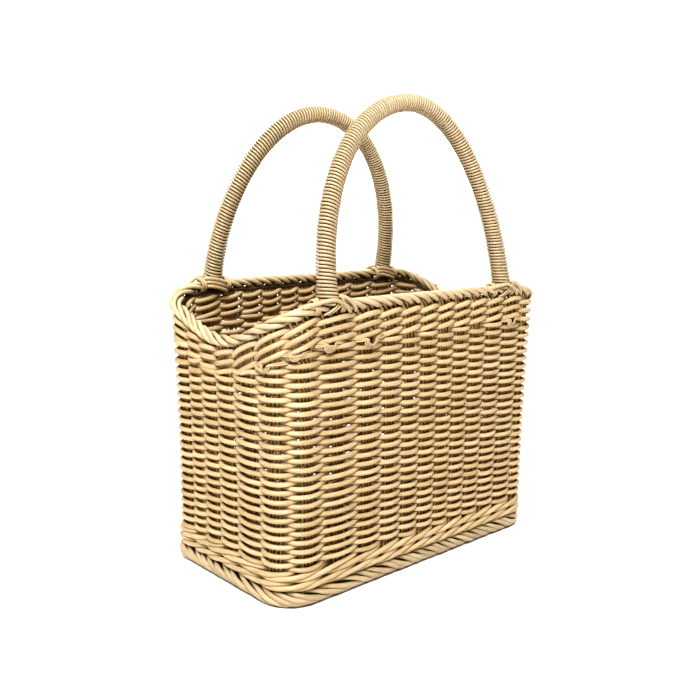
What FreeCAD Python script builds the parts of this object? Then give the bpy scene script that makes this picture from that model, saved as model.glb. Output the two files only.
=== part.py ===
import FreeCAD, Part
import Mesh
import math
import os

# Woven cane basket with two fixed arched handles.
# Frame: +Z up, origin at the centre of the footprint on the surface it stands on,
# +X along the basket's length, -Y is the front.  All sizes in millimetres.

# ---- driving dimensions -------------------------------------------------------------
base_half_x = 141.8        # outer half length at the floor
base_half_y = 76.5         # outer half width at the floor
top_half_x = 149.0         # outer half length under the rim
top_half_y = 75.2          # outer half width under the rim
flare_bulge = -1.18        # below 0 keeps most of the flare near the top
body_height = 221.0        # rim top along the back
front_drop = 3.0           # the front rim stands this much lower
rim_dip = 30.0             # and the rim comes down this much at the middle of each end
corner_radius = 27.3       # outer corner of the plan

strand_t = 3.6             # weaving strand, through the wall
course_pitch = 3.32        # height taken by one course
course_gap = 0.15          # air between two courses
border_h = 13.0            # rolled border under the wall
border_w = 11.0
border_round = 4.5
border_chamfer = 2.0
wale_pitch = 6.9           # height taken by one row of wale
wale_gap = 0.2             # air between two rows of wale
top_wale_rows = 3
base_wale_rows = 2
full_courses = 39          # courses that go all the way round
long_courses = 48          # courses on the long sides, the last ones are short rows
rim_h = 8.4
rim_gap = 1.75             # open gap between rim and top wale, stakes show in it
rim_half_w = 5.6
rim_shoulder = 2.5

rod_r = 1.2                # one thin upright rod
rod_pitch = 2.7            # rods side by side in a stake
rods_per_stake = 4
clearance = 0.15           # rod to strand
stake_below_rim = 1.5      # the rods end this far below the rim's top

# Widths of the columns between stakes, seen from outside and going round to the right.
# They are scaled to fill each side, and the other two sides repeat them.
long_side_columns = (24, 32, 24, 20.5, 19, 18.5, 17.5, 18.5, 19, 20.5, 22, 23)
short_side_columns = (24, 17, 20, 23, 29, 24)
first_column_start = 3.0   # from the middle of the front left corner

handle_tube_r = 7.0        # over the wrapping
core_rod_r = 1.4           # seven rods in a bundle make the core
core_rod_pitch = 2.85
foot_left = -99.5          # x of the handles' feet
foot_right = 91.5
handle_tongue = 34.0       # middle rod's end, pushed down inside the wall
front_rise = 141.0         # centre line of the arch above the rim
back_rise = 133.0
front_peak_x = 6.5         # hand bent arches, not quite symmetric
back_peak_x = -9.0
arch_lean = 26.5           # both arches lean in towards each other
wrap_start = 1.5           # the wrapping starts this far above the rim

lash_r = 1.5               # binding cane at the handles' feet
lash_reach = 15.0          # each arch of it goes this far to both sides of the foot
tie_r = 0.8                # thin ties below the waling
tie_loop_r = 3.6
tie_places = (-112.0, -96.0, -66.0, 104.0)

stick_r = 1.5              # sticks under the base, in pairs along its length
stick_rows = 7
stick_row_pitch = 18.0
base_z = 8.6               # middle of the woven base
base_strip_t = 3.2
base_strip_w = 3.6
base_strip_pitch = 3.9
base_edge_room = 0.6       # from the ends of the strips to the border

# ---- values that follow from them ---------------------------------------------------
wall_half = 5.0                                     # outer face to the stakes' middle
mid_radius = corner_radius - wall_half
sway = rod_r + strand_t / 2 + clearance             # strand's middle to stakes' middle
ref_x = base_half_x - corner_radius                 # half length of a straight long side
ref_y = base_half_y - corner_radius
arc_length = mid_radius * math.pi / 2
perimeter = 4 * (ref_x + ref_y + arc_length)
base_wale_z = border_h + 0.1
weave_z = base_wale_z + base_wale_rows * wale_pitch + 0.2
foot_middle = (foot_right - foot_left) / 2
dip_run = ref_y + arc_length + ref_x - foot_middle  # from an end's middle to a handle
foot_y = top_half_y - wall_half

os.makedirs("parts", exist_ok=True)


def save(name, solids):
    """Write one node, which may hold several separate solids."""
    shape = solids[0] if len(solids) == 1 else Part.makeCompound(solids)
    for solid in solids:
        if not solid.isValid() or solid.Volume <= 0:
            print("BAD SOLID in", name, solid.isValid(), solid.Volume)
    shape.exportStep("parts/" + name + ".step")
    volume = sum(solid.Volume for solid in solids)
    print("%-26s %3d solids %9.1f mm3" % (name, len(solids), volume))


# ---- the wall's plan ----------------------------------------------------------------
def half_sizes(z):
    """Half length and half width of the wall's outside at height z."""
    f = min(max(z / body_height, 0.0), 1.0)
    g = f + flare_bulge * f * (1 - f)
    half_x = base_half_x + (top_half_x - base_half_x) * g
    half_y = base_half_y + (top_half_y - base_half_y) * g
    return half_x, half_y


def wall_point(s, z, offset=0.0):
    """Point on the stakes' middle surface at distance s round the wall, moved outward.

    s is measured at floor level from the middle of the front left corner and grows
    along the front towards +X.
    """
    half_x, half_y = half_sizes(z)
    cx = half_x - corner_radius
    cy = half_y - corner_radius
    corners = ((-cx, -cy, 180), (cx, -cy, 270), (cx, cy, 0), (-cx, cy, 90))
    u = (s + arc_length / 2) % perimeter
    for i, (x, y, start) in enumerate(corners):
        if u <= arc_length:
            angle = math.radians(start + 90 * u / arc_length)
            nx, ny = math.cos(angle), math.sin(angle)
            r = mid_radius + offset
            return FreeCAD.Vector(x + r * nx, y + r * ny, z)
        u -= arc_length
        straight = 2 * (ref_x if i % 2 == 0 else ref_y)
        if u <= straight:
            angle = math.radians(start + 90)
            nx, ny = round(math.cos(angle)), round(math.sin(angle))
            x2, y2, _ = corners[(i + 1) % 4]
            f = u / straight
            r = mid_radius + offset
            return FreeCAD.Vector(x + (x2 - x) * f + r * nx, y + (y2 - y) * f + r * ny, z)
        u -= straight
    return wall_point(0.0, z, offset)


def from_end(s):
    """Distance round the wall from s to the middle of the nearer short end."""
    right_end = 1.5 * arc_length + 2 * ref_x + ref_y
    left_end = right_end + perimeter / 2
    best = perimeter
    for end in (right_end, left_end):
        d = abs((s - end + perimeter / 2) % perimeter - perimeter / 2)
        best = min(best, d)
    return best


def rim_drop(s):
    """How far the rim has come down at s, smooth from the handles to the ends."""
    g = min(max(1 - from_end(s) / dip_run, 0.0), 1.0)
    return rim_dip * (1 - math.cos(math.pi * g)) / 2


def rim_top(s):
    """Height of the rim: the front drops a little, smoothly round the ends."""
    y = wall_point(s, body_height).y
    g = min(max(0.5 - y / (2 * foot_y), 0.0), 1.0)
    return body_height - rim_drop(s) - front_drop * g * g * (3 - 2 * g)


def rim_height(side):
    """Rim's height at the handles' feet, side -1 for the front and 1 for the back."""
    return body_height - (front_drop if side < 0 else 0.0)


def wale_foot(s):
    """Lower edge of the rows of top wale at s."""
    return rim_top(s) - rim_h - rim_gap - top_wale_rows * wale_pitch


# ---- stakes: where the uprights stand -----------------------------------------------
def column_middles():
    """Distance round the wall of each column's middle."""
    long_side = 2 * ref_x + arc_length
    short_side = 2 * ref_y + arc_length
    middles = []
    s = first_column_start
    for _ in range(2):
        for widths, length in ((long_side_columns, long_side), (short_side_columns, short_side)):
            scale = length / sum(widths)
            for width in widths:
                middles.append(s + width * scale / 2)
                s += width * scale
    return middles


columns = column_middles()
stake_half = (rods_per_stake - 1) / 2 * rod_pitch
flat_half = stake_half + rod_r + 2 * clearance      # the strand runs straight this far


def ring(outer_points, inner_points, z, height):
    """Upright ring between two closed outlines."""
    outer = Part.Face(Part.makePolygon(outer_points + outer_points[:1]))
    inner = Part.Face(Part.makePolygon(inner_points + inner_points[:1]))
    up = FreeCAD.Vector(0, 0, height)
    return outer.extrude(up).cut(inner.extrude(up))


def sway_line(z, phase, first, count, offset):
    """Outline of one side of a strand that goes outside and inside of the stakes."""
    points = []
    for k in range(first, first + count):
        lap, i = divmod(k, len(columns))
        side = 1 if (k + phase) % 2 == 0 else -1
        for step in (-flat_half, 0.0, flat_half):
            s = columns[i] + lap * perimeter + step
            points.append(wall_point(s, z, side * sway + offset))
    return points


def closed_course(z, phase):
    outer = sway_line(z, phase, 0, len(columns), strand_t / 2)
    inner = sway_line(z, phase, 0, len(columns), -strand_t / 2)
    return ring(outer, inner, z, course_pitch - course_gap)


def open_course(z, phase, first, count):
    """A short row, which ends at a stake on each side."""
    outer = sway_line(z, phase, first, count, strand_t / 2)
    inner = sway_line(z, phase, first, count, -strand_t / 2)
    outline = outer + inner[::-1]
    face = Part.Face(Part.makePolygon(outline + outline[:1]))
    return face.extrude(FreeCAD.Vector(0, 0, course_pitch - course_gap))


def plain_weave():
    """Two courses to a node; the last node has the odd one."""
    for first in range(0, full_courses, 2):
        solids = []
        for k in range(first, min(first + 2, full_courses)):
            solids.append(closed_course(weave_z + k * course_pitch, k))
        save("weave_round_%02d" % (first // 2 + 1), solids)


def short_rows():
    """Rows above the last full course fill the long sides up to the top wale."""
    n = len(columns)
    half_side = len(short_side_columns) // 2
    reach = len(long_side_columns) + 2 * half_side
    for name, start in (("weave_upper_front", -half_side), ("weave_upper_back", n // 2 - half_side)):
        solids = []
        for k in range(full_courses, long_courses):
            z = weave_z + k * course_pitch
            room = [i for i in range(start, start + reach)
                    if wale_foot(columns[i % n]) > z + course_pitch]
            solids.append(open_course(z, k, room[0], len(room)))
        save(name, solids)


# ---- rings that follow the rim's dip ------------------------------------------------
def stations():
    """Places round the wall where a ring with a sloping top needs a section."""
    places = []
    side = -arc_length / 2
    arc_steps = 6
    straight_steps = 12
    level_margin = 20.0
    for straight in (2 * ref_x, 2 * ref_y, 2 * ref_x, 2 * ref_y):
        places += [side + arc_length * i / arc_steps for i in range(arc_steps)]
        side += arc_length
        for i in range(straight_steps):
            s = side + straight * i / straight_steps
            level = all(rim_drop(s + near) == 0 for near in (-level_margin, 0, level_margin))
            if not level:
                places.append(s)
        side += straight
    return places


def sloping_ring(section, height_at):
    """Closed ring whose section, (offset, rise) points, follows height_at(s)."""
    loops = []
    for s in stations():
        z = height_at(s)
        loops.append([wall_point(s, z, offset) + FreeCAD.Vector(0, 0, rise)
                      for offset, rise in section])
    triangles = []
    for i, loop in enumerate(loops):
        after = loops[(i + 1) % len(loops)]
        for j in range(len(section)):
            k = (j + 1) % len(section)
            triangles.append((loop[j], after[j], after[k]))
            triangles.append((loop[j], after[k], loop[k]))
    mesh = Mesh.Mesh([tuple(point) for triangle in triangles for point in triangle])
    shell = Part.Shape()
    shell.makeShapeFromMesh(mesh.Topology, 0.001)
    solid = Part.makeSolid(shell)
    if solid.Volume < 0:
        solid.reverse()
    return solid.removeSplitter()


def top_wale():
    inner_edge = rod_r + clearance
    outer_edge = inner_edge + strand_t
    rise = wale_pitch - wale_gap
    outside = ((inner_edge, 0), (outer_edge, 0), (outer_edge, rise), (inner_edge, rise))
    inside = tuple((-offset, z) for offset, z in reversed(outside))
    for row in range(top_wale_rows):
        def foot(s, row=row):
            return wale_foot(s) + row * wale_pitch
        save("top_wale_%d" % (row + 1), [sloping_ring(outside, foot), sloping_ring(inside, foot)])


def rim():
    """Rolled border: an outer and an inner roll with the stakes' ends between them."""
    inner_edge = rod_r + clearance
    outside = ((inner_edge, 0), (rim_half_w, 0), (rim_half_w, rim_h - rim_shoulder),
               (rim_half_w - rim_shoulder, rim_h), (inner_edge, rim_h))
    inside = tuple((-offset, z) for offset, z in reversed(outside))

    def foot(s):
        return rim_top(s) - rim_h
    save("rim_outer_roll", [sloping_ring(outside, foot)])
    save("rim_inner_roll", [sloping_ring(inside, foot)])


# ---- foot of the basket -------------------------------------------------------------
def rounded_plan(half_x, half_y, radius, z):
    """Rounded rectangle as a face with real arcs."""
    box = Part.makeBox(2 * half_x, 2 * half_y, 1, FreeCAD.Vector(-half_x, -half_y, z))
    upright = [e for e in box.Edges if abs(e.Vertexes[0].Z - e.Vertexes[1].Z) > 0.5]
    block = box.makeFillet(radius, upright)
    return next(f for f in block.Faces if abs(f.CenterOfMass.z - z) < 1e-6)


def wall_band(z, height, outer_offset, inner_offset):
    """Level ring with smooth corners; offsets are from the stakes' middle, outward."""
    half_x, half_y = half_sizes(z)
    up = FreeCAD.Vector(0, 0, height)
    solids = []
    for offset in (outer_offset, inner_offset):
        grow = offset - wall_half
        face = rounded_plan(half_x + grow, half_y + grow, corner_radius + grow, z)
        solids.append(face.extrude(up))
    return solids[0].cut(solids[1])


def outer_edges(band, z):
    """Level edges of the border's outside at height z."""
    inside_x = base_half_x - border_w + 1
    inside_y = base_half_y - border_w + 1
    edges = []
    for edge in band.Edges:
        box = edge.BoundBox
        at_height = abs(box.ZMin - z) < 0.01 and abs(box.ZMax - z) < 0.01
        reach_x = max(abs(box.XMin), abs(box.XMax))
        reach_y = max(abs(box.YMin), abs(box.YMax))
        if at_height and (reach_x > inside_x or reach_y > inside_y):
            edges.append(edge)
    return edges


def base_border():
    band = wall_band(0.0, border_h, wall_half, wall_half - border_w)
    rounded = band.makeFillet(border_round, outer_edges(band, border_h))
    save("base_border", [rounded.makeChamfer(border_chamfer, outer_edges(rounded, 0.0))])


def base_wale():
    inner_edge = rod_r + clearance
    outer_edge = inner_edge + strand_t
    height = wale_pitch - wale_gap
    for row in range(base_wale_rows):
        z = base_wale_z + row * wale_pitch
        outside = wall_band(z, height, outer_edge, inner_edge)
        inside = wall_band(z, height, -inner_edge, -outer_edge)
        save("base_wale_%d" % (row + 1), [outside, inside])


def base_room(x):
    """Half width of the space inside the border at x."""
    half_x = base_half_x - border_w
    half_y = base_half_y - border_w
    radius = corner_radius - border_w
    over = abs(x) - (half_x - radius)
    if over <= 0:
        return half_y
    return half_y - radius + math.sqrt(max(radius ** 2 - over ** 2, 0.0))


def base_sticks():
    length = 2 * (base_half_x - border_w - 3)
    solids = []
    for row in range(stick_rows):
        y = (row - (stick_rows - 1) / 2) * stick_row_pitch
        for side in (-1, 1):
            start = FreeCAD.Vector(-length / 2, y + side * (stick_r + 0.1), base_z)
            solids.append(Part.makeCylinder(stick_r, length, start, FreeCAD.Vector(1, 0, 0)))
    save("base_sticks", solids)


def base_weave():
    """Strips across the base, over one pair of sticks and under the next."""
    rise = stick_r + base_strip_t / 2 + clearance
    flat = 2 * stick_r + 0.6
    reach = base_half_x - border_w - 4
    count = int(2 * reach / base_strip_pitch)
    solids = []
    for k in range(count):
        x = (k - (count - 1) / 2) * base_strip_pitch
        end = base_room(abs(x) + base_strip_w / 2) - base_edge_room
        middle_line = []
        for row in range(stick_rows):
            y = (row - (stick_rows - 1) / 2) * stick_row_pitch
            side = 1 if (row + k) % 2 == 0 else -1
            middle_line.append((y - flat, side * rise))
            middle_line.append((y + flat, side * rise))
        middle_line[0] = (-end, middle_line[0][1])
        middle_line[-1] = (end, middle_line[-1][1])
        half = base_strip_t / 2
        under = [FreeCAD.Vector(x - base_strip_w / 2, y, base_z + z - half)
                 for y, z in middle_line]
        over = [FreeCAD.Vector(x - base_strip_w / 2, y, base_z + z + half)
                for y, z in reversed(middle_line)]
        outline = under + over
        face = Part.Face(Part.makePolygon(outline + outline[:1]))
        solids.append(face.extrude(FreeCAD.Vector(base_strip_w, 0, 0)))
    save("base_weave", solids)


# ---- uprights -----------------------------------------------------------------------
def upright(s, offset_s):
    """One thin rod inside the wall, bent a little where the basket flares."""
    foot = base_wale_z
    top = rim_top(s) - stake_below_rim
    wires = []
    steps = 4
    for i in range(steps + 1):
        z = foot + (top - foot) * i / steps
        here = wall_point(s, z)
        along = wall_point(s + 0.5, z) - wall_point(s - 0.5, z)
        along.normalize()
        circle = Part.Circle(here + along * offset_s, FreeCAD.Vector(0, 0, 1), rod_r)
        wires.append(Part.Wire([circle.toShape()]))
    return Part.makeLoft(wires, True, True)


def stakes():
    groups = {"stakes_front": [], "stakes_right": [], "stakes_back": [], "stakes_left": []}
    names = list(groups)
    long_side = len(long_side_columns)
    short_side = len(short_side_columns)
    for i, s in enumerate(columns):
        half, place = divmod(i, long_side + short_side)
        name = names[2 * half + (0 if place < long_side else 1)]
        for j in range(rods_per_stake):
            step = (j - (rods_per_stake - 1) / 2) * rod_pitch
            groups[name].append(upright(s, step))
    for name, solids in groups.items():
        save(name, solids)


# ---- handles ------------------------------------------------------------------------
def arch_wire(side, peak_x, rise):
    """Two quarter ellipses from foot to foot, in a plane that leans in; and its way up."""
    lean = FreeCAD.Vector(0, -side * arch_lean, rise)
    up = lean * (1 / lean.Length)
    foot_line = FreeCAD.Vector(peak_x, side * foot_y, rim_height(side) + wrap_start)
    peak = foot_line + lean * (1 - wrap_start / rise)
    left_foot = FreeCAD.Vector(foot_left, foot_line.y, foot_line.z)
    right_foot = FreeCAD.Vector(foot_right, foot_line.y, foot_line.z)
    quarter = math.pi / 2
    right_curve = Part.Ellipse(peak, right_foot, foot_line)
    right_half = Part.ArcOfEllipse(right_curve, 0, quarter).toShape()
    left_curve = Part.Ellipse(peak, left_foot, foot_line)
    left_half = Part.ArcOfEllipse(left_curve, 0, quarter).toShape()
    return Part.Wire(Part.__sortEdges__([left_half, right_half])), up


def sweep_arch(wire, section_offset, radius):
    """Round rod along an arch from foot to foot."""
    start = wire.OrderedVertexes[0].Point
    first = wire.OrderedEdges[0]
    direction = first.tangentAt(first.FirstParameter)
    profile = Part.Wire([Part.Circle(start + section_offset, direction, radius).toShape()])
    return wire.makePipeShell([profile], True, True)


def handle(name, side, peak_x, rise):
    wire, up = arch_wire(side, peak_x, rise)
    none = FreeCAD.Vector(0, 0, 0)
    middle = sweep_arch(wire, none, core_rod_r)
    for x in (foot_left, foot_right):
        low = FreeCAD.Vector(x, side * foot_y, rim_height(side) - handle_tongue)
        length = handle_tongue + wrap_start + core_rod_r / 2
        middle = middle.fuse(Part.makeCylinder(rod_r, length, low))
    rods = [middle.Solids[0]]
    along = FreeCAD.Vector(1, 0, 0)
    across = along.cross(up)
    for i in range(6):
        angle = math.radians(60 * i)
        offset = across * (core_rod_pitch * math.sin(angle)) + along * (core_rod_pitch * math.cos(angle))
        rods.append(sweep_arch(wire, offset, core_rod_r))
    save("handle_core_" + name, rods)
    bore = core_rod_pitch + core_rod_r + clearance
    sleeve = sweep_arch(wire, none, handle_tube_r).cut(sweep_arch(wire, none, bore))
    save("handle_wrap_" + name, [sleeve.Solids[0]])


def lashing(name, side, x):
    """A collar round a handle's foot and an arch of cane over it on each side of the rim."""
    solids = []
    rim_z = rim_height(side)
    collar_r = handle_tube_r + lash_r + 4 * clearance
    centre = FreeCAD.Vector(x, side * foot_y, rim_z + lash_r + clearance)
    solids.append(Part.makeTorus(collar_r, lash_r, centre))
    low = rim_z - rim_h
    for face in (1, -1):
        y = side * (foot_y + face * (rim_half_w + lash_r + clearance))
        start = FreeCAD.Vector(x - lash_reach, y, low)
        middle = FreeCAD.Vector(x, y, rim_z - lash_r)
        end = FreeCAD.Vector(x + lash_reach, y, low)
        arc = Part.Arc(start, middle, end).toShape()
        direction = arc.tangentAt(arc.FirstParameter)
        profile = Part.Wire([Part.Circle(start, direction, lash_r).toShape()])
        solids.append(Part.Wire([arc]).makePipeShell([profile], True, True))
    save("handle_lashing_" + name, solids)


def tie_loops(name, side):
    """Thin ends of the binding, left as small loops outside the wall below the wale."""
    solids = []
    z = weave_z + long_courses * course_pitch - tie_loop_r
    y = side * (half_sizes(z)[1] + tie_r + 2 * clearance)
    for x in tie_places:
        centre = FreeCAD.Vector(side * -x, y, z)
        solids.append(Part.makeTorus(tie_loop_r, tie_r, centre, FreeCAD.Vector(0, 1, 0)))
    save("tie_loops_" + name, solids)


plain_weave()
short_rows()
top_wale()
rim()
base_border()
base_wale()
base_sticks()
base_weave()
stakes()
handle("front", -1, front_peak_x, front_rise)
handle("back", 1, back_peak_x, back_rise)
lashing("front_left", -1, foot_left)
lashing("front_right", -1, foot_right)
lashing("back_left", 1, foot_left)
lashing("back_right", 1, foot_right)
tie_loops("front", -1)
tie_loops("back", 1)
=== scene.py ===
import math

import bpy
import numpy as np
from mathutils import Matrix, Vector


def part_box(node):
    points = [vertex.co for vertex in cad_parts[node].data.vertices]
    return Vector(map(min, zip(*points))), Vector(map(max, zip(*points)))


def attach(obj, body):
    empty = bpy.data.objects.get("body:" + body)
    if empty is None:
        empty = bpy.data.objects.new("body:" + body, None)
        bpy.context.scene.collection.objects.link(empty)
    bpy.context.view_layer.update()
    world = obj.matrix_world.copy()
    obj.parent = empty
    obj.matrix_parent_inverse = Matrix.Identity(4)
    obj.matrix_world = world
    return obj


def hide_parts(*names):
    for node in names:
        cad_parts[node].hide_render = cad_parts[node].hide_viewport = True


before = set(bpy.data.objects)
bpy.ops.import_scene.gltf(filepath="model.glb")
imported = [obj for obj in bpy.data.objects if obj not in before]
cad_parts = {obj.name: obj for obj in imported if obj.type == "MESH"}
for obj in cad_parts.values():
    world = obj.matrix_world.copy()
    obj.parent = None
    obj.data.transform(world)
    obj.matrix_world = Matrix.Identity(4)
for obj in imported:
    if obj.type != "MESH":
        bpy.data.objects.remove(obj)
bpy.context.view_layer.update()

MM = 0.001
random = np.random.RandomState(11)

# ---- sizes read from the frame ------------------------------------------------------
border_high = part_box("base_border")[1]
base_half = (border_high.x, border_high.y)
border_height = border_high.z
body_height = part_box("rim_outer_roll")[1].z
weave_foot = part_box("weave_round_01")[0].z
stick_low, stick_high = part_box("base_sticks")
base_weave_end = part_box("base_weave")[1].x
front_handle_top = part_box("handle_wrap_front")[1].z
back_handle_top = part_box("handle_wrap_back")[1].z

# ---- the basket's other sizes -------------------------------------------------------
top_half = (149.0 * MM, 75.2 * MM)
corner_radius = 27.3 * MM
wall_half = 5.0 * MM              # outer face of the wall to the stakes' middle
flare_bulge = -1.18               # below 0 keeps most of the flare near the rim
front_drop = 3.0 * MM             # the front rim stands this much lower than the back
rim_dip = 30.0 * MM               # and the rim comes down this much at the ends
rim_height = 8.4 * MM
rim_half_width = 5.6 * MM
rim_strand_r = 1.8 * MM
rim_gap = 1.75 * MM               # from the rim down to the waling
border_strand_r = 2.0 * MM

wale_pitch = 6.9 * MM
wale_r = 2.0 * MM
wale_rise = 1.65 * MM             # a strand climbs this much above and below its row
wale_lifts = (0.7 * MM, 1.1 * MM, 1.4 * MM)    # of the outer strands, lowest row first
base_wale_rows = 2
base_wale_r = 1.95 * MM
base_wale_rise = 2.5 * MM

course_pitch = 3.32 * MM
full_courses = 39
long_courses = 48                 # on the long sides, with the short rows

# widths of the columns in proportion, to the right from the front left corner
long_side_columns = (24, 32, 24, 20.5, 19, 18.5, 17.5, 18.5, 19, 20.5, 22, 23)
short_side_columns = (24, 17, 20, 23, 29, 24)
first_column_start = 3.0 * MM     # past the middle of that corner

cane_r = 1.82 * MM                # round weaving cane
sway = 3.45 * MM                  # how far a strand swings out and in
rod_r = 1.0 * MM                  # thin upright rods, four to a stake
rod_pitch = 2.75 * MM
rods_per_stake = 4
rod_top_drop = 4.6 * MM           # the rods end this far below the top of the rim

base_stick_rows = 7               # pairs of sticks along the base
base_stick_pitch = 18.0 * MM
base_strip_r = 1.75 * MM
base_strip_pitch = 3.9 * MM

handle_tube_r = 7.0 * MM
wrap_r = 1.02 * MM                # cane wound round the handles
wrap_pitch = 2.5 * MM
wrap_strands = 2                  # wound side by side
core_rods = 7
core_rod_r = 0.85 * MM
core_reach = 2.85 * MM            # from a handle's centre line to its outer rods
foot_left = -99.5 * MM
foot_right = 91.5 * MM
foot_y = top_half[1] - wall_half
front_arch_middle = 6.5 * MM      # where each handle is highest
back_arch_middle = -9.0 * MM
arch_lean = 26.5 * MM             # how far the tops lean towards each other
wrap_start = 1.5 * MM             # above the rim
handle_tongue = 34.0 * MM         # how far the core goes down into the weave

binding_r = 1.1 * MM              # lashing round the rim beside the handles' feet
tie_r = 0.58 * MM                 # thin ties under the waling
PAINTED_SHADE_TINT = -3.0                     # tint that makes strands near black: painted shade in the rolls' gaps and under the handles' wrap

# ---- plan of the wall ---------------------------------------------------------------
mid_radius = corner_radius - wall_half
ref_x = base_half[0] - corner_radius
ref_y = base_half[1] - corner_radius
arc_length = mid_radius * math.pi / 2
perimeter = 4 * (ref_x + ref_y + arc_length)
CORNERS = ((-1, -1, 180), (1, -1, 270), (1, 1, 0), (-1, 1, 90))


def half_sizes(z):
    """Half length and half depth over the wall's outer face at the height z."""
    f = np.clip(z / body_height, 0.0, 1.0)
    g = f + flare_bulge * f * (1 - f)
    half_x = base_half[0] + (top_half[0] - base_half[0]) * g
    half_y = base_half[1] + (top_half[1] - base_half[1]) * g
    return half_x, half_y


def wall(s, z):
    """Points on the stakes' middle surface at distance s round the wall, and normals."""
    s = np.atleast_1d(np.asarray(s, float))
    z = np.broadcast_to(np.asarray(z, float), s.shape)
    half_x, half_y = half_sizes(z)
    cx = half_x - corner_radius
    cy = half_y - corner_radius
    u = (s + arc_length / 2) % perimeter
    points = np.zeros(s.shape + (3,))
    normals = np.zeros(s.shape + (3,))
    points[..., 2] = z
    start = 0.0
    for i, (sign_x, sign_y, angle0) in enumerate(CORNERS):
        on_arc = (u >= start) & (u < start + arc_length)
        angle = np.radians(angle0 + 90 * (u - start) / arc_length)
        nx, ny = np.cos(angle), np.sin(angle)
        points[on_arc, 0] = (sign_x * cx + mid_radius * nx)[on_arc]
        points[on_arc, 1] = (sign_y * cy + mid_radius * ny)[on_arc]
        normals[on_arc, 0] = nx[on_arc]
        normals[on_arc, 1] = ny[on_arc]
        start += arc_length
        straight = 2 * (ref_x if i % 2 == 0 else ref_y)
        on_side = (u >= start) & (u < start + straight)
        f = (u - start) / straight
        facing = math.radians(angle0 + 90)
        nx, ny = round(math.cos(facing)), round(math.sin(facing))
        next_x, next_y, _ = CORNERS[(i + 1) % 4]
        x = sign_x * cx + (next_x - sign_x) * cx * f + mid_radius * nx
        y = sign_y * cy + (next_y - sign_y) * cy * f + mid_radius * ny
        points[on_side, 0] = x[on_side]
        points[on_side, 1] = y[on_side]
        normals[on_side, 0] = nx
        normals[on_side, 1] = ny
        start += straight
    return points, normals


end_middle = 1.5 * arc_length + 2 * ref_x + ref_y      # middle of the right end
dip_run = ref_y + arc_length + ref_x - (foot_right - foot_left) / 2


def rim_top(s):
    """Height of the rim: a little lower along the front and lowest at the ends."""
    s = np.atleast_1d(np.asarray(s, float))
    half = perimeter / 2
    away = np.abs((s - end_middle + half / 2) % half - half / 2)
    g = np.clip(1 - away / dip_run, 0.0, 1.0)
    y = wall(s, body_height)[0][..., 1]
    f = np.clip(0.5 - y / (2 * foot_y), 0.0, 1.0)
    return body_height - rim_dip * (1 - np.cos(math.pi * g)) / 2 - front_drop * f * f * (3 - 2 * f)


def wale_foot(s):
    """Height of the lower edge of the top waling."""
    return rim_top(s) - rim_height - rim_gap - len(wale_lifts) * wale_pitch


def column_edges():
    """Distances round the wall at which the columns of the weave meet."""
    long_side = 2 * ref_x + arc_length
    short_side = 2 * ref_y + arc_length
    places = [first_column_start]
    for _ in range(2):
        for widths, length in ((long_side_columns, long_side), (short_side_columns, short_side)):
            for width in widths:
                places.append(places[-1] + width * length / sum(widths))
    return np.array(places)


edges = column_edges()
COLUMNS = len(edges) - 1


def at_column(u):
    """Distance round the wall for a column coordinate, which grows by 1 a column."""
    u = np.asarray(u, float)
    lap = np.floor(u / COLUMNS)
    return np.interp(u - lap * COLUMNS, np.arange(COLUMNS + 1), edges) + lap * perimeter


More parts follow.
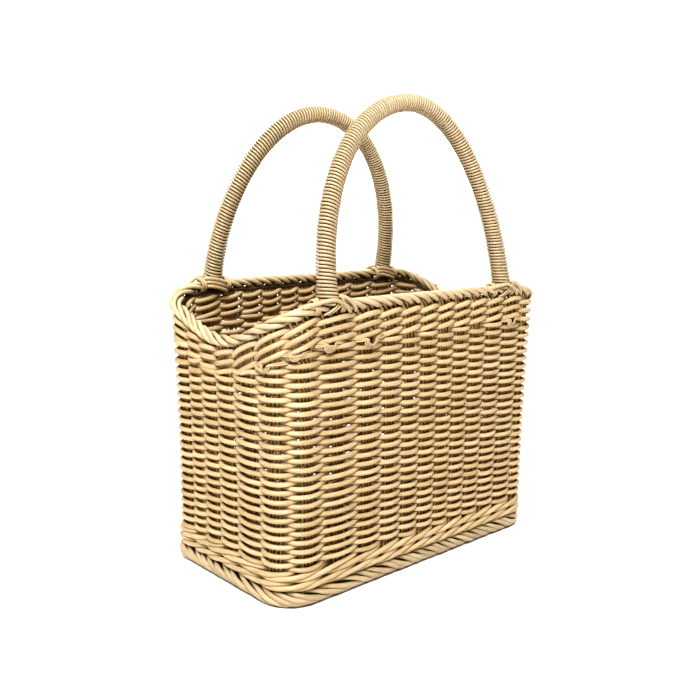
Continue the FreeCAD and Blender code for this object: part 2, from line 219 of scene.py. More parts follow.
# ---- strands as mesh tubes ----------------------------------------------------------
class Bundle:
    """Collects round strands and makes one mesh of them.

    Each vertex keeps where it lies along and round its strand, for the cane's grain,
    and a tint that is the same all along the strand; a very low tint makes painted shade.
    """

    def __init__(self):
        self.points = []
        self.faces = []
        self.grain = []
        self.tint = []
        self.count = 0

    def add(self, line, side, radius, closed=False, sides=10, tint=None):
        """line and side are (n, 3); side is any direction across the strand."""
        line = np.asarray(line, float)
        side = np.asarray(side, float)
        n = len(line)
        if closed:
            tangent = np.roll(line, -1, 0) - np.roll(line, 1, 0)
        else:
            tangent = np.gradient(line, axis=0)
        tangent /= np.linalg.norm(tangent, axis=1)[:, None]
        steps = np.linalg.norm(np.diff(line, axis=0), axis=1)
        along = np.concatenate([[0], np.cumsum(steps)])
        radius = np.broadcast_to(np.asarray(radius, float), (n,)).copy()
        if not closed:
            line, side, tangent, radius, along = self.round_ends(line, side, tangent, radius, along)
            n = len(line)
        side = side - (side * tangent).sum(1)[:, None] * tangent
        side /= np.linalg.norm(side, axis=1)[:, None]
        other = np.cross(tangent, side)
        angle = 2 * math.pi * np.arange(sides) / sides
        across = np.cos(angle)[None, :, None] * side[:, None]
        across = across + np.sin(angle)[None, :, None] * other[:, None]
        ring = line[:, None] + radius[:, None, None] * across
        rows = n if closed else n - 1
        i = np.arange(rows)[:, None]
        j = np.arange(sides)[None, :]
        after = ((i + 1) % n) * sides
        beside = (j + 1) % sides
        corners = (i * sides + j, i * sides + beside, after + beside, after + j)
        quads = np.stack(corners, 2).reshape(-1, 4) + self.count
        self.faces += quads.tolist()
        if not closed:
            self.faces.append((np.arange(sides)[::-1] + self.count).tolist())
            self.faces.append((np.arange(sides) + (n - 1) * sides + self.count).tolist())
        shift = random.uniform(0, 50)
        grain = np.empty((n, sides, 3))
        grain[..., 0] = along[:, None] / MM + 37 * shift
        grain[..., 1] = np.cos(angle)[None] * radius[:, None] / MM + shift
        grain[..., 2] = np.sin(angle)[None] * radius[:, None] / MM
        tone = random.uniform(0, 1) if tint is None else tint
        self.points.append(ring.reshape(-1, 3))
        self.grain.append(grain.reshape(-1, 3))
        self.tint.append(np.full(n * sides, tone))
        self.count += n * sides

    @staticmethod
    def round_ends(line, side, tangent, radius, along):
        angles = np.radians([80, 55, 28])
        r0, r1 = radius[0], radius[-1]
        head = line[0] - tangent[0] * (r0 * np.sin(angles))[:, None]
        tail = line[-1] + tangent[-1] * (r1 * np.sin(angles[::-1]))[:, None]
        line = np.concatenate([head, line, tail])
        side = np.concatenate([np.repeat(side[:1], 3, 0), side, np.repeat(side[-1:], 3, 0)])
        tangent = np.concatenate([np.repeat(tangent[:1], 3, 0), tangent, np.repeat(tangent[-1:], 3, 0)])
        along = np.concatenate([along[0] - r0 * np.sin(angles), along, along[-1] + r1 * np.sin(angles[::-1])])
        radius = np.concatenate([r0 * np.cos(angles), radius, r1 * np.cos(angles[::-1])])
        return line, side, tangent, radius, along

    def build(self, name, material, slot, *nodes):
        mesh = bpy.data.meshes.new(name)
        mesh.from_pydata(np.concatenate(self.points).tolist(), [], self.faces)
        grain = mesh.attributes.new("grain", "FLOAT_VECTOR", "POINT")
        grain.data.foreach_set("vector", np.concatenate(self.grain).ravel())
        tint = mesh.attributes.new("tint", "FLOAT", "POINT")
        tint.data.foreach_set("value", np.concatenate(self.tint))
        mesh.shade_smooth()
        mesh.materials.append(material)
        piece = bpy.data.objects.new(name, mesh)
        bpy.context.scene.collection.objects.link(piece)
        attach(piece, "root")
        if nodes:
            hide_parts(*nodes)
        return piece


def wander(count, size, waves=3):
    """Smooth closed unevenness of about the given size, for one turn round the wall."""
    t = np.linspace(0, 2 * math.pi, count, endpoint=False)
    total = np.zeros(count)
    for _ in range(waves):
        total += np.sin(t * random.randint(3, 17) + random.uniform(0, 6.28))
    return total * size / waves


def smooth_path(points, count):
    """Evenly spaced points on a smooth curve through the given ones."""
    points = np.asarray(points, float)
    padded = np.vstack([2 * points[0] - points[1], points, 2 * points[-1] - points[-2]])
    t = np.linspace(0, len(points) - 1, count)
    i = np.minimum(t.astype(int), len(points) - 2)
    f = (t - i)[:, None]
    a, b, c, d = padded[i], padded[i + 1], padded[i + 2], padded[i + 3]
    cubic = (2 * b + (c - a) * f + (2 * a - 5 * b + 4 * c - d) * f ** 2 + (3 * b - a - 3 * c + d) * f ** 3)
    return cubic / 2


# ---- material -----------------------------------------------------------------------
def cane_material(name, dark, light, roughness, grain_scale=1.0):
    """Round cane: lengthwise streaks, each strand its own tone, satin surface; the darkest-tinted strands
    turn near black as painted shade.
    """
    material = bpy.data.materials.new(name)
    material.use_nodes = True
    tree = material.node_tree
    nodes, links = tree.nodes, tree.links
    shader = nodes["Principled BSDF"]
    grain = nodes.new("ShaderNodeAttribute")
    grain.attribute_name = "grain"
    tint = nodes.new("ShaderNodeAttribute")
    tint.attribute_name = "tint"

    def noise(scale, detail, stretch):
        mapping = nodes.new("ShaderNodeMapping")
        mapping.inputs["Scale"].default_value = stretch
        links.new(grain.outputs["Vector"], mapping.inputs["Vector"])
        texture = nodes.new("ShaderNodeTexNoise")
        texture.inputs["Scale"].default_value = scale
        texture.inputs["Detail"].default_value = detail
        texture.inputs["Roughness"].default_value = 0.55
        links.new(mapping.outputs["Vector"], texture.inputs["Vector"])
        return texture.outputs["Fac"]

    def math_node(operation, a, b):
        node = nodes.new("ShaderNodeMath")
        node.operation = operation
        for socket, value in zip(node.inputs, (a, b)):
            if isinstance(value, (int, float)):
                socket.default_value = value
            else:
                links.new(value, socket)
        return node.outputs["Value"]

    streaks = noise(2.2 * grain_scale, 3.0, (0.06, 1.0, 1.0))
    blotches = noise(0.5 * grain_scale, 2.0, (0.12, 0.6, 0.6))
    mixed = math_node("ADD", math_node("MULTIPLY", streaks, 0.55), math_node("MULTIPLY", blotches, 0.25))
    mixed = math_node("ADD", mixed, math_node("MULTIPLY", tint.outputs["Fac"], 0.12))
    ramp = nodes.new("ShaderNodeValToRGB")
    ramp.color_ramp.elements[0].position = 0.25
    ramp.color_ramp.elements[0].color = (*dark, 1)
    ramp.color_ramp.elements[1].position = 0.65
    ramp.color_ramp.elements[1].color = (*light, 1)
    # near-black end of the ramp, reached only by the strands tinted darkest: painted shade
    ramp.color_ramp.elements.new(0.08).color = (*(0.3 * part for part in dark), 1)
    links.new(mixed, ramp.inputs["Fac"])
    links.new(ramp.outputs["Color"], shader.inputs["Base Color"])
    rough = nodes.new("ShaderNodeMapRange")
    rough.inputs["To Min"].default_value = roughness - 0.08
    rough.inputs["To Max"].default_value = roughness + 0.1
    links.new(streaks, rough.inputs["Value"])
    links.new(rough.outputs["Result"], shader.inputs["Roughness"])
    bump = nodes.new("ShaderNodeBump")
    bump.inputs["Strength"].default_value = 0.35
    bump.inputs["Distance"].default_value = 0.0003
    links.new(streaks, bump.inputs["Height"])
    links.new(bump.outputs["Normal"], shader.inputs["Normal"])
    return material


weaver_cane = cane_material("weaver_cane", (0.32, 0.226, 0.104), (0.59, 0.466, 0.296), 0.42)
wale_cane = cane_material("wale_cane", (0.325, 0.231, 0.108), (0.595, 0.471, 0.30), 0.42)
border_cane = cane_material("border_cane", (0.295, 0.216, 0.115), (0.565, 0.458, 0.298), 0.42)
rod_cane = cane_material("rod_cane", (0.31, 0.195, 0.068), (0.57, 0.41, 0.20), 0.45)
wrap_cane = cane_material("wrap_cane", (0.28, 0.208, 0.112), (0.53, 0.428, 0.282), 0.4, 1.5)
binding_cane = cane_material("binding_cane", (0.31, 0.225, 0.115), (0.58, 0.46, 0.295), 0.4, 1.5)


# ---- plain weave --------------------------------------------------------------------
SAMPLES = 14                      # points of a strand in one column


def all_round():
    """Points round the wall: column coordinate, column, -1 to 1 across it, distance."""
    u = np.arange(COLUMNS * SAMPLES) / SAMPLES
    column = np.floor(u).astype(int)
    return u, column, 2 * (u - column) - 1, at_column(u)


def swing(t):
    """Shape of one arc across a column, 0 at its edges and 1 in the middle."""
    return np.cos(t * math.pi / 2) ** 0.85


def course_line(course, u, middle, ceiling=None):
    """One course at the column coordinates u, at the height middle: line and normals.

    ceiling(s) is the height under which the course is packed down near its ends.
    """
    column = np.floor(u).astype(int)
    t = np.clip(2 * (u - column) - 1, -1, 1)
    s = at_column(u)
    side = np.where((column + course) % 2 == 0, 1.0, -1.0)
    uneven = random.normal(0, 1, (COLUMNS, 2))[column % COLUMNS]
    reach = sway * (1 + 0.05 * uneven[:, 0])
    z = middle + 0.15 * MM * uneven[:, 1] * swing(t)
    if ceiling is not None:
        z = soft_least(z, ceiling(s))
    points, normals = wall(s, z)
    line = points + normals * (side * reach * swing(t))[:, None]
    return line, normals


def soft_least(a, b, blend=1.2 * MM):
    """The smaller of a and b, with a rounded change between them."""
    h = np.clip(0.5 + 0.5 * (b - a) / blend, 0, 1)
    return b * (1 - h) + a * h - blend * h * (1 - h)


def plain_weave():
    """Full courses, each outside one stake and inside the next."""
    u = all_round()[0]
    for first in range(0, full_courses, 2):
        bundle = Bundle()
        for course in range(first, min(first + 2, full_courses)):
            middle = weave_foot + (course + 0.5) * course_pitch
            line, normals = course_line(course, u, middle)
            line[:, 2] += wander(len(line), 0.15 * MM)
            bundle.add(line, normals, cane_r * random.uniform(0.97, 1.03), closed=True)
        name = "weave_round_%02d" % (first // 2 + 1)
        bundle.build("strands_" + name, weaver_cane, "weaver_cane", name)


def hairpin(column, course, outward, low, high):
    """A strand going round a stake from one course to the next; outward is 1 or -1.

    low and high are the heights of the two courses at the stake.
    """
    side = 1.0 if (column + course) % 2 == 0 else -1.0
    middle = at_column(column + 0.5)
    half_width = (at_column(column + 1) - at_column(column)) / 2
    angle = np.linspace(0, math.pi, 18)[1:-1]
    s = middle + outward * half_width * np.sin(angle)
    z = low + (high - low) * angle / math.pi
    points, normals = wall(s, z)
    return points + normals * (side * sway * np.cos(angle))[:, None], normals


def short_rows():
    """Rows that turn back round a stake at each end, where the rim comes down."""
    squeeze = 3.2 * MM                   # a row still fits where it stands this much too high
    tucks = (1.0 * MM, 2.0 * MM)         # how far the rows' ends press up into the waling
    half_side = len(short_side_columns) // 2
    reach = len(long_side_columns) + 2 * half_side
    foot = weave_foot + full_courses * course_pitch
    for name, start in (("front", -half_side), ("back", COLUMNS // 2 - half_side)):
        bundle = Bundle()
        columns = range(start, start + reach)
        height = max(wale_foot(at_column(i + 0.5))[0] for i in columns) - foot
        pitch = height / (long_courses - full_courses)
        radius = cane_r * max(1.0, pitch / course_pitch)
        for row in range(0, long_courses - full_courses, 2):
            course = full_courses + row
            low, high = foot + (row + 0.5) * pitch, foot + (row + 1.5) * pitch
            room = [i for i in columns if wale_foot(at_column(i + 0.5))[0] > low - squeeze]
            first, last = room[0], room[-1]
            u = np.arange(first * SAMPLES + SAMPLES // 2, last * SAMPLES + SAMPLES // 2 + 1) / SAMPLES
            there, there_n = course_line(course, u, low, lambda s: wale_foot(s) + tucks[0])
            if course + 1 == long_courses:
                bundle.add(there, there_n, radius)
                continue
            back, back_n = course_line(course + 1, u, high, lambda s: wale_foot(s) + tucks[1])
            right, right_n = hairpin(last, course, 1, there[-1, 2], back[-1, 2])
            left, left_n = hairpin(first, course, -1, there[0, 2], back[0, 2])
            line = np.concatenate([there, right, back[::-1], left[::-1]])
            normals = np.concatenate([there_n, right_n, back_n[::-1], left_n[::-1]])
            bundle.add(line, normals, radius, closed=True)
        node = "weave_upper_" + name
        bundle.build("strands_" + node, weaver_cane, "weaver_cane", node)


# ---- waling -------------------------------------------------------------------------
def climb(t):
    """An almost straight rise from -1 to 1 that levels off at its ends."""
    return np.arcsin(0.94 * np.sin(t * math.pi / 2)) / math.asin(0.94)


def paired_row(bundle, height_at, radius, rise, lift_outside):
    """Two strands twisted round each stake in turn, rising as they pass outside."""
    u, column, t, s = all_round()
    for strand in range(2):
        side = np.where((column + strand) % 2 == 0, 1.0, -1.0)
        uneven = random.normal(0, 1, (COLUMNS, 2))[column]
        lift = side * (rise * climb(t) + lift_outside * swing(t)) + 0.2 * MM * uneven[:, 0] * swing(t)
        z = height_at(s) + lift + wander(len(u), 0.12 * MM)
        points, normals = wall(s, z)
        reach = sway * (1 + 0.07 * uneven[:, 1])
        line = points + normals * (side * reach * swing(t))[:, None]
        bundle.add(line, normals, radius, closed=True)


def three_rod_row(bundle, height_at, radius, rise):
    """Three strands, each outside two stakes and inside one."""
    u, column, t, s = all_round()
    for strand in range(3):
        step = (column + strand) % 3
        q = np.where(step == 0, (t + 1) / 2 - 1, (t + 1) / 2)
        outside = step < 2
        over_two = np.cos(q * math.pi / 2) ** 0.7
        reach = np.where(outside, sway * 1.1 * over_two, -sway * swing(t))
        lift = np.where(outside, rise * np.sin(q * math.pi / 2), -rise * np.sin(t * math.pi / 2))
        uneven = random.normal(0, 1, COLUMNS)[column]
        z = height_at(s) + lift + wander(len(u), 0.15 * MM) + 0.2 * MM * uneven * swing(t)
        points, normals = wall(s, z)
        bundle.add(points + normals * reach[:, None], normals, radius, closed=True)


def top_wale():
    """Rows of waling that follow the rim."""
    for row, lift in enumerate(wale_lifts):
        bundle = Bundle()
        middle = (row + 0.5) * wale_pitch
        paired_row(bundle, lambda s: wale_foot(s) + middle, wale_r, wale_rise, lift)
        name = "top_wale_%d" % (row + 1)
        bundle.build("strands_" + name, wale_cane, "wale_cane", name)


def base_wale():
    """Level rows of waling on the bottom border."""
    for row in range(base_wale_rows):
        bundle = Bundle()
        z = border_height + (row + 0.5) * wale_pitch
        three_rod_row(bundle, lambda s: np.full(s.shape, z), base_wale_r, base_wale_rise)
        name = "base_wale_%d" % (row + 1)
        bundle.build("strands_" + name, wale_cane, "wale_cane", name)


# ---- rolled borders -----------------------------------------------------------------
def rope_border(bundle, height_at, coil_r, coil_h, radius, haste, taper, strands=6, columns_per_turn=3):
    """Strands laid over each other into a roll: down the outside to the right.

    haste makes them run long over the top and turn quickly underneath; taper makes
    them look thinner where they come over the top.
    """
    u, column, t, s = all_round()
    for strand in range(strands):
        turn = 2 * math.pi * (u / columns_per_turn + strand / strands)
        turn = turn + wander(len(u), 0.25)
        angle = turn - haste * np.sin(turn)
        uneven = random.normal(0, 1, COLUMNS)[column]
        bulge = 1 + wander(len(u), 0.05) + 0.05 * uneven * swing(t)
        points, normals = wall(s, height_at(s))
        line = points + normals * (coil_r * bulge * np.sin(angle))[:, None]
        line[:, 2] += coil_h * bulge * np.cos(angle)
        thick = radius * random.uniform(0.97, 1.03) * (1 - taper * np.cos(angle))
        bundle.add(line, normals, thick, closed=True, sides=12)


def rim():
    """The rolled border round the top."""
    bundle = Bundle()
    coil_r = rim_half_width - rim_strand_r
    coil_h = rim_height / 2 - rim_strand_r + 0.15 * MM
    rope_border(bundle, lambda s: rim_top(s) - rim_height / 2, coil_r, coil_h, rim_strand_r,
                haste=0.35, taper=0.06, strands=4, columns_per_turn=2)
    s = all_round()[3]
    # drop from the rim's top, inset and radius of the strands that fill the roll, tinted near black as
    # painted shade in and under it
    shade_fillers = ((rim_height / 2, 0.0, 2.1 * MM), (rim_height + 0.9 * MM, 1.3 * MM, 1.8 * MM))
    for drop, inset, radius in shade_fillers:
        points, normals = wall(s, rim_top(s) - drop)
        bundle.add(points - inset * normals, normals, radius, closed=True, tint=PAINTED_SHADE_TINT)
    bundle.build("strands_rim", border_cane, "border_cane", "rim_outer_roll", "rim_inner_roll")


def base_border():
    """The rolled border that the basket stands on."""
    bundle = Bundle()
    taper = 0.15
    coil_h = border_height / 2 - border_strand_r * (1 + taper) - 0.15 * MM
    coil_r = coil_h * 0.9
    middle = border_height / 2 + 0.35 * MM
    rope_border(bundle, lambda s: np.full(s.shape, middle), coil_r, coil_h, border_strand_r,
                haste=-0.3, taper=taper)
    # a near-black strand inside the roll: painted shade between its strands
    shade_filler_drop, shade_filler_r = 0.8 * MM, 2.2 * MM
    points, normals = wall(all_round()[3], middle - shade_filler_drop)
    bundle.add(points, normals, shade_filler_r, closed=True, tint=PAINTED_SHADE_TINT)
    bundle.build("strands_base_border", border_cane, "border_cane", "base_border")


# ---- uprights -----------------------------------------------------------------------
def stakes():
    """Four rods to a stake, fanned under the rim, where their tips lean over."""
    names = ("stakes_front", "stakes_right", "stakes_back", "stakes_left")
    tip = 9 * MM                         # length that leans over
    fan = 20 * MM                        # length over which the rods spread
    fan_start = 12 * MM                  # below the waling
    fan_share = 0.2                      # of a column's width, between spread rods
    tuck = 16 * MM                       # length of the border's ends below the waling
    bundles = {name: Bundle() for name in names}
    long_side = len(long_side_columns)
    for i in range(COLUMNS):
        half, place = divmod(i, COLUMNS // 2)
        name = names[2 * half + (0 if place < long_side else 1)]
        s = at_column(i + 0.5)
        width = at_column(i + 1) - at_column(i)
        top = rim_top(s)[0] - rod_top_drop
        z = np.linspace(border_height - 3 * MM, top, 44)
        bend = np.clip((z - (top - tip)) / tip, 0, 1) ** 1.5
        spread = np.clip((z - (wale_foot(s)[0] - fan_start)) / fan, 0, 1)
        pitch = rod_pitch + (fan_share * width - rod_pitch) * spread
        thick = rod_r * (1 + 0.2 * spread)
        for j in range(rods_per_stake):
            step = (j - (rods_per_stake - 1) / 2) * pitch
            phase = random.uniform(0, 6.28)
            lean = bend * random.uniform(3.0, 6.0) * MM
            sideways = 0.2 * MM * np.sin(z / (9 * MM) + phase)
            points, normals = wall(s + step + sideways - lean, z)
            points += normals * (0.1 * MM * np.sin(z / (7 * MM) + phase))[:, None]
            bundles[name].add(points, normals, thick, sides=8)
        if name == "stakes_front":
            continue
        # ends of the border, tucked down between the rods
        for step in (-fan_share, 0.0, fan_share):
            z = np.linspace(wale_foot(s)[0] - tuck, top, 16)
            points, normals = wall(s + step * width + 0.3 * MM * np.sin(z / (8 * MM) + i), z)
            bundles[name].add(points, normals, rod_r, sides=8)
    for name, bundle in bundles.items():
        bundle.build("rods_" + name, rod_cane, "rod_cane", name)


# ---- base ---------------------------------------------------------------------------
def base_room(x):
    """Half width of the space inside the border at x."""
    border_width = 11 * MM
    half_x = base_half[0] - border_width
    half_y = base_half[1] - border_width
    radius = corner_radius - border_width
    over = abs(x) - (half_x - radius)
    if over <= 0:
        return half_y
    return half_y - radius + math.sqrt(max(radius ** 2 - over ** 2, 0.0))


def woven_base():
    """Pairs of sticks along the base, and strips woven across them."""
    stick_r = (stick_high.z - stick_low.z) / 2
    middle_z = (stick_high.z + stick_low.z) / 2
    sticks = Bundle()
    samples = 60
    x = np.linspace(stick_low.x, stick_high.x, samples)
    for row in range(base_stick_rows):
        y = (row - (base_stick_rows - 1) / 2) * base_stick_pitch
        for side in (-1, 1):
            middle = np.full(samples, y + side * (stick_r + 0.1 * MM))
            line = np.stack([x, middle, np.full(samples, middle_z)], 1)
            sticks.add(line, np.tile([0.0, 0, 1], (samples, 1)), stick_r, sides=8)
    sticks.build("rods_base_sticks", rod_cane, "rod_cane", "base_sticks")
    count = int(round(2 * base_weave_end / base_strip_pitch))
    reach = base_half[0] - 13.2 * MM
    pitch = 2 * reach / (count - 1)
    weave = Bundle()
    samples = 90
    for k in range(count):
        x0 = (k - (count - 1) / 2) * pitch
        end = base_room(x0) - 2 * MM
        y = np.linspace(-end, end, samples)
        wave = np.cos(math.pi * y / base_stick_pitch)
        wave = np.sign(wave) * np.abs(wave) ** 0.7 * (1 if k % 2 == 0 else -1)
        line = np.stack([np.full(samples, x0), y, middle_z + (stick_r + base_strip_r) * wave], 1)
        weave.add(line, np.tile([1.0, 0, 0], (samples, 1)), base_strip_r, sides=8)
    weave.build("strands_base_weave", weaver_cane, "weaver_cane", "base_weave")


# ---- handles ------------------------------------------------------------------------
def rim_at(side):
    """Height of the rim along a long side: -1 is the front, 1 the back."""
    return body_height - (front_drop if side < 0 else 0.0)


def arch(side, peak_x, top_z, count=900):
    """Evenly spaced points of a handle's centre line, and a direction across it."""
    rim_z = rim_at(side)
    rise = top_z - handle_tube_r - rim_z
    lean = np.array([0, -side * arch_lean, rise])
    foot = np.array([0, side * foot_y, rim_z + wrap_start])
    lift = lean * (1 - wrap_start / rise)
    angle = np.linspace(0, math.pi, 4001)
    half_span = np.where(angle < math.pi / 2, peak_x - foot_left, foot_right - peak_x)
    line = foot + np.outer(np.sin(angle), lift)
    line[:, 0] = peak_x - half_span * np.cos(angle)
    below = np.array([[0, 0, -5.0], [0, 0, -2.5]]) * MM
    line = np.concatenate([line[0] + below, line, line[-1] + below[::-1]])
    steps = np.concatenate([[0], np.cumsum(np.linalg.norm(np.diff(line, axis=0), axis=1))])
    even = np.linspace(0, steps[-1], count)
    line = np.stack([np.interp(even, steps, line[:, i]) for i in range(3)], 1)
    across = np.cross([1.0, 0, 0], lean / np.linalg.norm(lean))
    return line, even, across


def handle(name, side, peak_x, top_z):
    """The wound cane and the rods inside it, which go down into the weave."""
    line, along, across = arch(side, peak_x, top_z)
    length = along[-1]
    per_turn = 24
    turns = int(length / (wrap_pitch * wrap_strands))
    place = np.linspace(0, length, turns * per_turn + 1)
    centre = np.stack([np.interp(place, along, line[:, i]) for i in range(3)], 1)
    tangent = np.gradient(centre, axis=0)
    tangent /= np.linalg.norm(tangent, axis=1)[:, None]
    flat = np.broadcast_to(across, centre.shape)
    third = np.cross(tangent, flat)
    from_foot = np.minimum(place, length - place)
    uneven = 1 + 0.012 * np.sin(place / (11 * MM)) + 0.012 * np.sin(place / (3.7 * MM))
    swell = 1 + 0.17 * np.exp(-from_foot / (18 * MM))       # thicker near the feet
    coil_r = (handle_tube_r - wrap_r) * uneven * swell
    wrap = Bundle()
    for strand in range(wrap_strands):
        turn = 2 * math.pi * (np.arange(len(place)) / per_turn + strand / wrap_strands)
        radial = np.cos(turn)[:, None] * flat - np.sin(turn)[:, None] * third
        wrap.add(centre + radial * coil_r[:, None], radial, wrap_r, sides=8)
    wrap.build("wrap_" + name, wrap_cane, "wrap_cane", "handle_wrap_" + name)
    core = Bundle()
    middle = line[::6]
    # a near-black sleeve inside the wrap: painted shade between the turns
    shade_sleeve_r = handle_tube_r - 1.9 * wrap_r
    core.add(middle, np.tile(across, (len(middle), 1)), shade_sleeve_r, sides=16, tint=PAINTED_SHADE_TINT)
    tongue_pitch, tongue_inset = 1.75 * MM, 0.9 * MM
    for i in range(core_rods):
        angle = math.radians(60 * i)
        reach = core_reach if i < core_rods - 1 else 0.0
        offset = across * (reach * math.sin(angle)) + np.array([reach * math.cos(angle), 0, 0])
        feet = []
        for foot_x in (foot_left, foot_right):
            x = foot_x + (i - core_rods // 2) * tongue_pitch
            y = side * (foot_y - tongue_inset)
            low = rim_at(side) - handle_tongue - random.uniform(0, 4) * MM
            feet.append([[x, y, low], [x, y, rim_at(side) - 6 * MM]])
        path = np.concatenate([feet[0], middle + offset, feet[1][::-1]])
        core.add(path, np.tile(across, (len(path), 1)), core_rod_r, sides=8)
    core.build("core_" + name, rod_cane, "rod_cane", "handle_core_" + name)


def lashing(name, side, foot_x):
    """What holds a handle's foot: cane over the rim on both faces and thin bindings."""
    rim_z = rim_at(side) - rim_height / 2
    right = np.array([-side * 1.0, 0, 0])          # to the right seen from outside
    out = np.array([0, side * 1.0, 0])
    up = np.array([0, 0, 1.0])
    origin = np.array([foot_x, side * foot_y, rim_z])

    def place(points):
        points = np.asarray(points, float) * MM
        return origin + points[:, :1] * right + points[:, 1:2] * out + points[:, 2:] * up

    bundle = Bundle()

    def strand(points, radius, count=36):
        line = smooth_path(place(points), count)
        bundle.add(line, np.tile(out + 0.01 * up, (count, 1)), radius, sides=10)

    # (right, outward, up) from the middle of the rim under the foot, in millimetres
    strand([(-23, 2.6, 0.6), (-16, 4.6, 2.6), (-8, 6.4, 4.4), (0, 7.2, 4.8), (7, 6.6, 2.6),
            (13, 5.6, -1.0), (17, 4.0, -4.2)], 1.55 * MM)
    strand([(8, 2.0, 6.6), (12, 5.2, 5.6), (17, 6.0, 2.2), (21, 5.0, -1.6), (23, 3.6, -4.0)], 1.45 * MM)
    strand([(6.0, 0.5, 5.4), (7.6, 4.4, 6.4), (9.4, 5.6, 4.0)], 1.1 * MM)
    strand([(-6, 3.6, -5.2), (-3, 5.4, -3.4), (1, 6.2, -0.8), (4, 6.0, 1.6), (6, 5.0, 3.6)], 0.85 * MM)
    strand([(-2.5, 3.6, -5.2), (0.8, 5.5, -3.2), (4.4, 6.2, -0.8), (7.2, 5.8, 1.8)], 0.85 * MM)
    # inner face
    for drop in (0.0, 3.1, 6.2):
        strand([(10, -4.0, 5.4 - drop), (6.5, -6.8, 5.6 - drop), (0, -8.2, 4.2 - drop),
                (-6.5, -7.4, 2.0 - drop), (-10, -4.6, 0.2 - drop)], 1.6 * MM)
    # thin turns round the rim on both sides of the foot
    turns, turn_pitch = 2, 2.3
    for middle in (-11.5, 11.5):
        angle = np.linspace(0, 2 * math.pi * turns, 34 * turns)
        t = middle + turn_pitch * (angle / (2 * math.pi) - turns / 2)
        wide = rim_half_width / MM + np.where(np.sin(angle) > 0, -1.3, 1.4)
        tall = rim_height / MM / 2 + 0.8
        strand(np.stack([t, wide * np.sin(angle), tall * np.cos(angle)], 1), binding_r, 60 * turns)
    bundle.build("lashing_" + name, binding_cane, "binding_cane", "handle_lashing_" + name)


def tie_loops(name, start):
    """Small loops of thin cane left hanging under the waling, and their ends."""
    bundle = Bundle()
    # place along the side, half width, depth (in millimetres) and number of strands
    loops = ((-141.0, 1.4, 3.4, 2), (-124.0, 1.3, 2.0, 2), (-97.0, 2.9, 3.2, 3),
             (-60.0, 3.5, 4.4, 3), (97.0, 2.4, 3.0, 3))
    for x, wide, deep, strands in loops:
        s = start + arc_length / 2 + ref_x + x * MM
        foot = wale_foot(s)[0]
        angle = np.linspace(0, math.pi, 24)
        for k in range(strands):
            half, drop = wide + 1.2 * k, deep + 1.1 * k
            # distance along the wall, out from it and up
            loop = np.stack([-half * np.cos(angle) - 0.25 * drop * np.sin(angle),
                             6.5 - 0.5 * k + 0.3 * np.sin(angle),
                             0.6 - drop * np.sin(angle) ** 0.7], 1)
            tails = [(-half - 6, 2.4, 1.6 - k), (-half - 2.5, 4.8, 1.6 - k)]
            ends = [(half + 4, 4.8, 2.2 - k), (half + 10, 2.4, 2.8 - k)]
            shape = np.concatenate([tails, loop, ends]) * MM
            points, normals = wall(s + shape[:, 0], foot + 0.4 * MM + shape[:, 2])
            line = smooth_path(points + normals * shape[:, 1:2], 80)
            bundle.add(line, np.tile(normals[0] + (0, 0, 0.3), (80, 1)), tie_r, sides=8)
    bundle.build("ties_" + name, binding_cane, "binding_cane", "tie_loops_" + name)


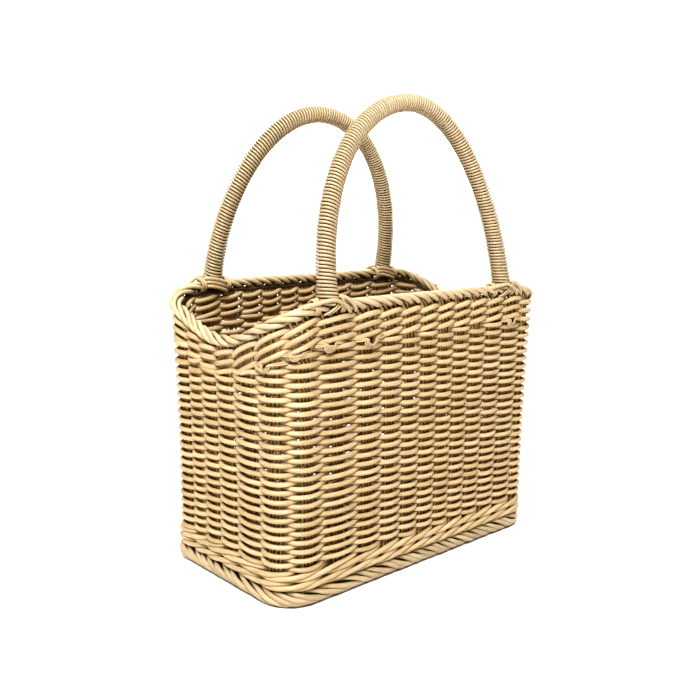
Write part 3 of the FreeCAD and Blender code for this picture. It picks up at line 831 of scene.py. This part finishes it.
# ---- studio and camera --------------------------------------------------------------
def studio():
    """A pale floor, a white backdrop and soft lights."""
    size = 30.0
    corners = [(-size, -size, 0), (size, -size, 0), (size, size, 0), (-size, size, 0)]
    floor_mesh = bpy.data.meshes.new("floor")
    floor_mesh.from_pydata(corners, [], [(0, 1, 2, 3)])
    floor = bpy.data.objects.new("floor", floor_mesh)
    bpy.context.scene.collection.objects.link(floor)
    paint = bpy.data.materials.new("floor_paint")
    paint.use_nodes = True
    shader = paint.node_tree.nodes["Principled BSDF"]
    shader.inputs["Base Color"].default_value = (0.8, 0.81, 0.84, 1)
    shader.inputs["Roughness"].default_value = 0.9
    floor_mesh.materials.append(paint)
    world = bpy.data.worlds.new("studio")
    world.use_nodes = True
    nodes, links = world.node_tree.nodes, world.node_tree.links
    ambient = nodes["Background"]
    ambient.inputs["Color"].default_value = (1, 0.86, 0.68, 1)
    ambient.inputs["Strength"].default_value = 0.22
    backdrop = nodes.new("ShaderNodeBackground")
    backdrop.inputs["Color"].default_value = (1, 1, 1, 1)
    backdrop.inputs["Strength"].default_value = 1.3
    seen = nodes.new("ShaderNodeLightPath")
    either = nodes.new("ShaderNodeMixShader")
    links.new(seen.outputs["Is Camera Ray"], either.inputs["Fac"])
    links.new(ambient.outputs["Background"], either.inputs[1])
    links.new(backdrop.outputs["Background"], either.inputs[2])
    links.new(either.outputs["Shader"], nodes["World Output"].inputs["Surface"])
    bpy.context.scene.world = world
    key = bpy.data.lights.new("key", "AREA")
    key.size = 0.5
    key.energy = 27.0
    key.color = (0.95, 1.0, 1.1)
    above = bpy.data.lights.new("above", "SUN")
    above.angle = math.radians(100)
    above.energy = 2.0
    fill = bpy.data.lights.new("fill", "AREA")
    fill.size = 1.2
    fill.energy = 12.0
    lamps = ((key, (-1.0, -0.8, 1.4)), (above, (0.2, 0.1, 2.0)), (fill, (1.1, 1.2, 1.1)))
    basket_middle = Vector((0, 0, 0.15))
    for lamp, place in lamps:
        holder = bpy.data.objects.new(lamp.name, lamp)
        holder.location = place
        aim = basket_middle - Vector(place)
        holder.rotation_euler = aim.to_track_quat("-Z", "Y").to_euler()
        bpy.context.scene.collection.objects.link(holder)


def camera():
    """From the front left, a little above the rim."""
    place = (-0.48925, -0.51492, 0.28959)
    azimuth, elevation, roll = math.radians(-42.75), math.radians(10.17), math.radians(0.96)
    back = Vector((math.sin(azimuth) * math.cos(elevation),
                   -math.cos(azimuth) * math.cos(elevation), math.sin(elevation)))
    right = (-back).cross(Vector((0, 0, 1))).normalized()
    up = right.cross(-back)
    rolled_right = right * math.cos(roll) + up * math.sin(roll)
    rolled_up = up * math.cos(roll) - right * math.sin(roll)
    lens = bpy.data.cameras.new("camera")
    lens.lens = 44.59
    lens.sensor_width = 36.0
    holder = bpy.data.objects.new("camera", lens)
    turn = Matrix((rolled_right, rolled_up, back)).transposed().to_4x4()
    holder.matrix_world = Matrix.Translation(place) @ turn
    bpy.context.scene.collection.objects.link(holder)
    bpy.context.scene.camera = holder


plain_weave()
short_rows()
top_wale()
base_wale()
rim()
base_border()
stakes()
woven_base()
handle("front", -1, front_arch_middle, front_handle_top)
handle("back", 1, back_arch_middle, back_handle_top)
lashing("front_left", -1, foot_left)
lashing("front_right", -1, foot_right)
lashing("back_left", 1, foot_left)
lashing("back_right", 1, foot_right)
tie_loops("front", 0.0)
tie_loops("back", perimeter / 2)
studio()
camera()
bpy.context.scene.view_settings.view_transform = "Standard"
bpy.context.scene.view_settings.look = "Very High Contrast"
